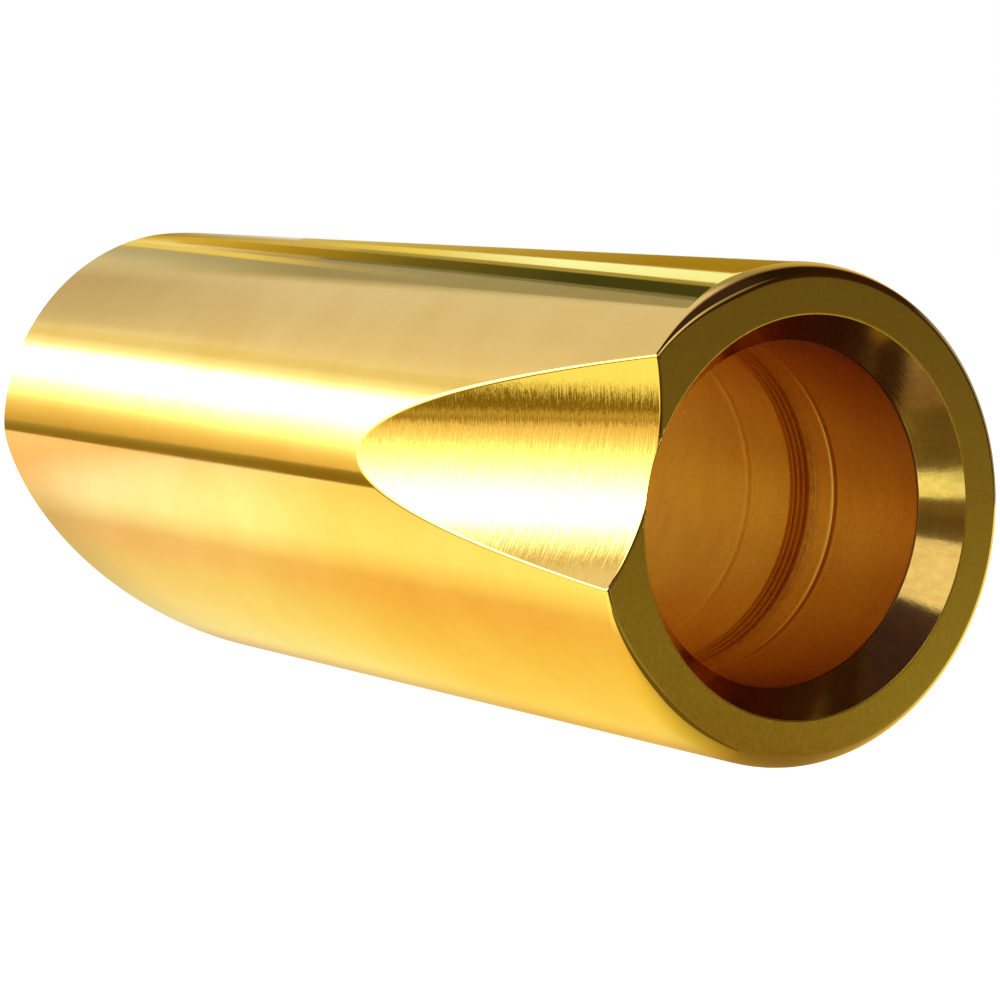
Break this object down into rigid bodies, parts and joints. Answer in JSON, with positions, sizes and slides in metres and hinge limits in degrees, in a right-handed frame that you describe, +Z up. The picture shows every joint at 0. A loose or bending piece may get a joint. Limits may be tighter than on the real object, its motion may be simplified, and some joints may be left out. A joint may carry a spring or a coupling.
{
  "type": "guitar slide",
  "caption": "One-piece brass guitar slide: a thick polished tube with a countersunk mouth, a brushed concave finger scallop and a slanted knuckle end.",
  "frame": {"origin": "on the bore's axis, half way along the slide", "axes": "+X along the slide's axis towards the countersunk mouth end, +Z up, and the finger scallop faces -Y"},
  "size_m": [0.0654, 0.0254, 0.0254],
  "materials": {
    "polished_brass": "polished outside, brushed scallop, satin turned end face and bore"
  },
  "bodies": {
    "root": {"slide_body": "polished_brass"}
  },
  "joints": []
}
